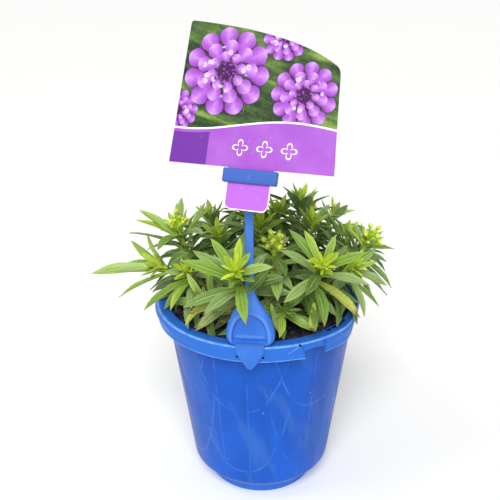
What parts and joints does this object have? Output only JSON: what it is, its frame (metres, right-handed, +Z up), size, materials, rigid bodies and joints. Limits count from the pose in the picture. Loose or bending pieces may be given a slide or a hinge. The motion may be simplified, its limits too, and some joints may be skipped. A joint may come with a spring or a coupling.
{
  "type": "potted candytuft",
  "caption": "Young candytuft with narrow leaves, lime tips and bud heads in a blue nursery pot, with a picture label in a clip-on holder.",
  "frame": {"origin": "centre of the pot's foot, on the surface that it stands on", "axes": "+Z up along the pot's axis; -Y is the side of the label holder, from which the label is read; +X is to the reader's right"},
  "size_m": [0.2053, 0.1951, 0.3194],
  "materials": {
    "pot_blue": "moulded plastic, half gloss",
    "holder_blue": "moulded plastic, fine matte",
    "printed_card": "printed plastic sheet, satin",
    "potting_mix": "moist bark mix",
    "leaf_green": "satin leaf with pale midrib",
    "tip_lime": "young leaf, satin",
    "bud_green": "buds, satin"
  },
  "bodies": {
    "root": {"pot": "pot_blue", "label_holder": "holder_blue", "label_card": "printed_card", "potting_mix": "potting_mix", "shoot_front": "leaf_green", "tip_front": "tip_lime", "shoot_right_front": "leaf_green", "tip_right_front": "tip_lime", "shoot_middle_bud": "leaf_green", "buds_middle_bud": "bud_green", "shoot_left_low": "leaf_green", "tip_left_low": "tip_lime", "shoot_left_bud": "leaf_green", "buds_left_bud": "bud_green", "shoot_right_bud": "leaf_green", "buds_right_bud": "bud_green", "shoot_right_mid": "leaf_green", "tip_right_mid": "tip_lime", "shoot_right_back": "leaf_green", "tip_right_back": "tip_lime", "shoot_back_mid": "leaf_green", "tip_back_mid": "tip_lime", "shoot_centre": "leaf_green", "tip_centre": "tip_lime", "shoot_left_mid": "leaf_green", "tip_left_mid": "tip_lime", "shoot_left_front": "leaf_green", "tip_left_front": "tip_lime", "shoot_right_edge": "leaf_green", "tip_right_edge": "tip_lime", "shoot_right_side": "leaf_green", "tip_right_side": "tip_lime", "shoot_left_back": "leaf_green", "tip_left_back": "tip_lime", "shoot_back_left": "leaf_green", "tip_back_left": "tip_lime", "shoot_back_right": "leaf_green", "tip_back_right": "tip_lime", "shoot_left_side": "leaf_green", "tip_left_side": "tip_lime", "shoot_back_low": "leaf_green", "tip_back_low": "tip_lime", "shoot_back_left_low": "leaf_green", "tip_back_left_low": "tip_lime", "shoot_back_bud": "leaf_green", "buds_back_bud": "bud_green", "shoot_right_back_low": "leaf_green", "tip_right_back_low": "tip_lime", "shoot_front_left_low": "leaf_green", "tip_front_left_low": "tip_lime", "shoot_front_right_low": "leaf_green", "tip_front_right_low": "tip_lime"}
  },
  "joints": []
}
